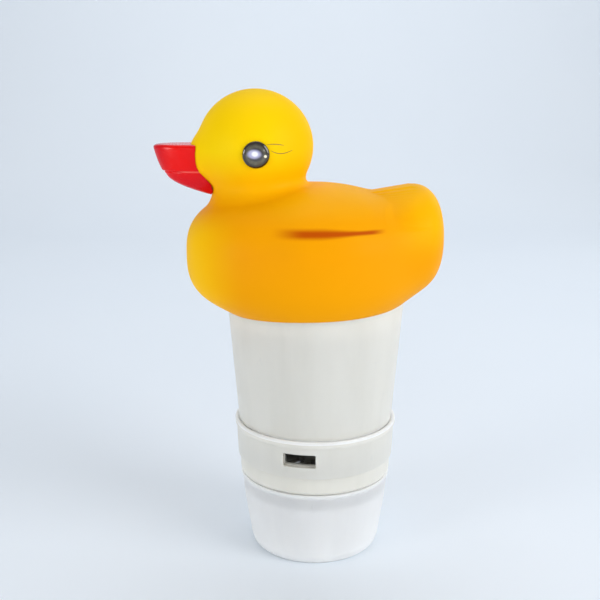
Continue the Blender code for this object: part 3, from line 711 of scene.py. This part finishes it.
def make_eye(name, side, look):
    """A bead that follows the head, with a raised rim and a peg into it."""
    turns = 2 * math.pi * np.arange(EYE_SIDES) / EYE_SIDES
    shares = [(k + 0.5) / EYE_RINGS for k in range(EYE_RINGS)] + [1.0]
    lifts = []
    for share in shares:
        bead = EYE_BEAD_HIGH * math.exp(-(((share - EYE_BEAD_AT) / EYE_BEAD_HALF) ** 2))
        lifts.append(GAP + EYE_RIM_THICK + EYE_DOME * (1 - share**2) + bead)
    skirt = (EYE_SKIRT, GAP + EYE_RIM_THICK * 0.5)
    rings = [*zip(shares, lifts), skirt, (1.0, 1.5 * GAP), (0.5, 1.5 * GAP)]
    bm = bmesh.new()
    loops = []
    for share, lift in rings:
        reach = EYE_RADIUS * share
        points = skin_at(EYE_X + reach * np.cos(turns), EYE_Z + reach * np.sin(turns), lift, side)
        loops.append([bm.verts.new(point) for point in points])
    loft(bm, loops)
    eye = add_object(name, bm, look)
    head_side = HEAD[1][1] + 2 * GAP
    ends = ((EYE_X, side * head_side, EYE_Z), (EYE_X, side * EYE_PEG_END, EYE_Z))
    carve(eye, [(rod(name + "_peg", *ends, EYE_PEG_RADIUS), "UNION")])
    return smooth(eye, SHARP_SKIN)


def make_lashes(name, side, look):
    """Two thin raised strokes of paint behind the eye, tapering to their ends."""
    bm = bmesh.new()
    for stroke in LASHES:
        start, bend, end = (np.array(point) / 1000 for point in stroke)
        t = np.linspace(0, 1, LASH_STEPS)[:, None]
        line = start * (1 - t) * (1 - 2 * t) + bend * 4 * t * (1 - t) + end * t * (2 * t - 1)
        run = np.gradient(line, axis=0)
        across = np.stack((-run[:, 1], run[:, 0]), 1) / np.linalg.norm(run, axis=1)[:, None]
        half = LASH_HALF * (LASH_TIP + (1 - LASH_TIP) * np.sin(math.pi * t) ** 0.6)
        rows = []
        for offset, lift in LASH_SECTION:
            edge = line + across * half * offset
            points = skin_at(EYE_X + edge[:, 0], EYE_Z + edge[:, 1], lift * LASH_LIFT, side)
            rows.append([bm.verts.new(point) for point in points])
        for row, following in zip(rows, [*rows[1:], rows[0]]):
            for i in range(len(row) - 1):
                bm.faces.new((row[i], row[i + 1], following[i + 1], following[i]))
        for end_of in (0, -1):
            bm.faces.new([row[end_of] for row in rows])
    return smooth(add_object(name, bm, look), SHARP_SKIN)


# Canister, collar and cup


def side_radius(height):
    """The canister's outer radius between shoulder and rim."""
    share = (height - SHOULDER_Z) / (RIM_Z - SHOULDER_Z)
    return SHOULDER_RADIUS + share * (RIM_RADIUS - SHOULDER_RADIUS)


def canister_outline():
    return (
        (RIM_RADIUS, RIM_Z),
        (SHOULDER_RADIUS, SHOULDER_Z),
        (SHOULDER_RADIUS - SHOULDER_IN, SHOULDER_Z - SHOULDER_DROP),
        (NECK_RADIUS, SHOULDER_Z - SHOULDER_DROP),
        (NECK_RADIUS, FLANGE_TOP_Z),
        (FLANGE_RADIUS, FLANGE_TOP_Z),
        (FLANGE_RADIUS, FLANGE_FOOT_Z + FLANGE_CUT_UP),
        (FLANGE_RADIUS - FLANGE_CUT_IN, FLANGE_FOOT_Z),
        (SKIRT_RADIUS, FLANGE_FOOT_Z),
        (SKIRT_RADIUS, SNAP_Z + SNAP_HALF),
        (SKIRT_RADIUS + SNAP_HEIGHT, SNAP_Z),
        (SKIRT_RADIUS, SNAP_Z - SNAP_HALF),
        (SKIRT_RADIUS, SKIRT_FOOT_Z),
        (SKIRT_BORE, SKIRT_FOOT_Z),
        (SKIRT_BORE, LEDGE_Z),
        (NECK_BORE, LEDGE_Z),
        (NECK_BORE, SHOULDER_Z - BORE_RAMP),
        (side_radius(SHOULDER_Z + BORE_RAMP) - CANISTER_WALL, SHOULDER_Z + BORE_RAMP),
        (side_radius(THREAD_FLOOR_Z) - CANISTER_WALL, THREAD_FLOOR_Z - THREAD_RAMP),
        (THREAD_WALL, THREAD_FLOOR_Z),
        (THREAD_WALL, RIM_Z),
    )


def rib(wall, crest, height):
    """One turn of a thread rib, rooted inside the wall that carries it."""
    steps = round(THREAD_TURN / (2 * math.pi) * FINE_SIDES)
    root, crown = RIB_ROOT / 2, RIB_CREST / 2
    section = ((wall, -root), (crest, -crown), (crest, crown), (wall, root))
    bm = bmesh.new()
    loops = []
    for i in range(steps + 1):
        turn = THREAD_START + THREAD_TURN * i / steps
        middle = height + LEAD * (turn - THREAD_START) / (2 * math.pi)
        x, y = math.cos(turn), math.sin(turn)
        loops.append([bm.verts.new((r * x, r * y, middle + dz)) for r, dz in section])
    loft(bm, loops)
    return add_object("rib", bm)


def window_tools(radius, size):
    """Round-cornered blocks that cut the windows through a wall of this radius."""
    tools = []
    for number in range(WINDOW_COUNT):
        turn = WINDOW_TURN + 2 * math.pi * number / WINDOW_COUNT
        bm = bmesh.new()
        block = Matrix.Diagonal((size[0], WINDOW_TOOL_DEEP, size[1], 1.0))
        bmesh.ops.create_cube(bm, size=1.0, matrix=block)
        ends = ((edge, *edge.verts) for edge in bm.edges)
        through = [e for e, a, b in ends if abs((a.co - b.co).y) > WINDOW_TOOL_DEEP / 2]
        corner = {"offset": WINDOW_CORNER, "segments": WINDOW_CORNER_STEPS, "profile": 0.5}
        bmesh.ops.bevel(bm, geom=through, affect="EDGES", **corner)
        place = Matrix.Rotation(turn, 4, "Z") @ Matrix.Translation((0.0, -radius, WINDOW_Z))
        bmesh.ops.transform(bm, matrix=place, verts=bm.verts)
        tools.append((add_object(f"window_{number}", bm), "DIFFERENCE"))
    return tools


def make_canister(look):
    canister = turned("canister_fine", softened(canister_outline(), TURNED_SOFT), look)
    thread = rib(THREAD_WALL + RIB_BITE, FEMALE_CREST, FEMALE_Z)
    carve(canister, [(thread, "UNION"), *window_tools(NECK_RADIUS, PORT_SIZE)])
    return smooth(canister)


def make_collar(look):
    outline = (
        (BEAD_RADIUS - BEAD_IN, COLLAR_LIP_Z),
        (BEAD_RADIUS, COLLAR_LIP_Z - BEAD_DOWN),
        (BEAD_RADIUS, COLLAR_TOP_Z - BEAD_FOOT_DOWN),
        (COLLAR_WAIST_RADIUS, COLLAR_TOP_Z - WAIST_DOWN),
        (COLLAR_FOOT_RADIUS, COLLAR_FOOT_Z),
        (COLLAR_BORE, COLLAR_FOOT_Z),
        (COLLAR_BORE, COLLAR_TOP_Z),
        (COLLAR_LIP_BORE, COLLAR_TOP_Z),
        (COLLAR_LIP_BORE, COLLAR_LIP_Z),
    )
    collar = turned("flow_collar_fine", softened(outline, COLLAR_SOFT), look)
    carve(collar, window_tools(COLLAR_BORE, WINDOW_SIZE))
    return smooth(collar)


def make_cup(look):
    outline = (
        (CUP_LIP_RADIUS, CUP_LIP_Z),
        *CUP_SIDE,
        *CUP_FOOT,
        (0.0, 0.0),
        (0.0, POST_HOLE_Z),
        (POST_BORE, POST_HOLE_Z),
        (POST_BORE, POST_TOP_Z),
        (POST_RADIUS, POST_TOP_Z),
        (POST_RADIUS, CUP_FLOOR_Z),
        (WELL_BORE, CUP_FLOOR_Z),
        (WELL_BORE, SEAT_Z),
        (SEAT_BORE, SEAT_Z),
        (SEAT_BORE, COVER_TOP_Z),
        CUP_WALL_BEND,
        (CUP_SHELF_BORE, CUP_SHELF_Z),
        (CUP_BORE, CUP_SHELF_Z),
        (CUP_BORE, SNAP_Z - SNAP_HALF - GAP),
        (CUP_BORE + SNAP_HEIGHT, SNAP_Z),
        (CUP_BORE, SNAP_Z + SNAP_HALF + GAP),
        (CUP_BORE, CUP_LIP_Z),
    )
    return smooth(turned("base_cup_fine", softened(outline, TURNED_SOFT), look))


# Studio


def make_floor():
    """A pale sweep that curves up behind the object."""
    profile = [(-FLOOR_REACH, 0.0), (SWEEP_Y, 0.0)]
    for turn in np.linspace(0.1, math.pi / 2, 14):
        rise = SWEEP_RADIUS - SWEEP_RADIUS * math.cos(turn)
        profile.append((SWEEP_Y + SWEEP_RADIUS * math.sin(turn), rise))
    profile.append((SWEEP_Y + SWEEP_RADIUS, WALL_TOP_Z))
    bm = bmesh.new()
    rows = [[bm.verts.new((x, y, z)) for y, z in profile] for x in (-FLOOR_REACH, FLOOR_REACH)]
    for i in range(len(profile) - 1):
        bm.faces.new((rows[0][i], rows[1][i], rows[1][i + 1], rows[0][i + 1]))
    look = Look("pale_floor", 0.75)
    look.set("Base Color", look.mix(look.noise(3.0), srgb(231, 239, 248), srgb(236, 243, 250)))
    smooth(add_object("studio_floor", bm, look.material))


def make_light(name, place, aim, size, energy, colour):
    data = bpy.data.lights.new(name, "AREA")
    data.shape, data.size, data.energy, data.color = "DISK", size, energy, colour
    lamp = bpy.data.objects.new(name, data)
    lamp.location = place
    lamp.rotation_euler = (Vector(aim) - Vector(place)).to_track_quat("-Z", "Y").to_euler()
    bpy.context.scene.collection.objects.link(lamp)


def make_studio():
    make_floor()
    for light in LIGHTS:
        make_light(*light)
    world = bpy.data.worlds.new("studio")
    world.use_nodes = True
    back = world.node_tree.nodes["Background"]
    back.inputs["Color"].default_value = WORLD_COLOUR
    back.inputs["Strength"].default_value = WORLD_STRENGTH
    bpy.context.scene.world = world
    bpy.context.scene.view_settings.view_transform = "Standard"
    data = bpy.data.cameras.new("camera")
    data.lens, data.sensor_width = LENS, SENSOR
    camera = bpy.data.objects.new("camera", data)
    camera.location = CAMERA_PLACE
    camera.rotation_euler = (CAMERA_PITCH, 0.0, 0.0)
    bpy.context.scene.collection.objects.link(camera)
    bpy.context.scene.camera = camera


# Assembly


def dress(names, look):
    """Gives CAD nodes that stay a better material."""
    for name in names:
        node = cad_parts[name]
        node.data.materials.clear()
        node.data.materials.append(look)


def place(piece, body, slot, *nodes):
    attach(piece, body)
    if nodes:
        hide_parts(*nodes)


def main():
    duck, eye, lash = duck_look(), eye_look(), lash_look()
    white = white_look("white_plastic", *WARM_WHITE)
    cool_white = white_look("white_plastic_cool", *COOL_WHITE)
    place(make_duck(duck), "duck_lid", "duck_vinyl", "duck_shell")
    place(make_bill(bill_look()), "duck_lid", "bill_vinyl", "duck_bill")
    for name, side in (("eye_left", -1), ("eye_right", 1)):
        place(make_eye(name + "_fine", side, eye), "duck_lid", "eye_gloss", name)
        place(make_lashes(name + "_lashes", side, lash), "duck_lid", "eye_gloss")
    place(make_canister(white), "canister_body", "white_plastic", "canister")
    place(make_collar(white), "collar", "white_plastic", "flow_collar")
    place(make_cup(cool_white), "canister_body", "white_plastic", "base_cup")
    dress(("lid", "clamp_plate", "tablet_grate", "ballast_cover"), white)
    dress(("duck_gasket", "lid_seal", "ballast_seal"), rubber_look())
    screws = [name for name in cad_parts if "screw" in name]
    dress(screws, steel_look("screw_steel", (1.0, 1.0, 6.0)))
    dress(("ballast",), steel_look("ballast_steel", (1.0, 6.0, 1.0)))
    make_studio()


main()
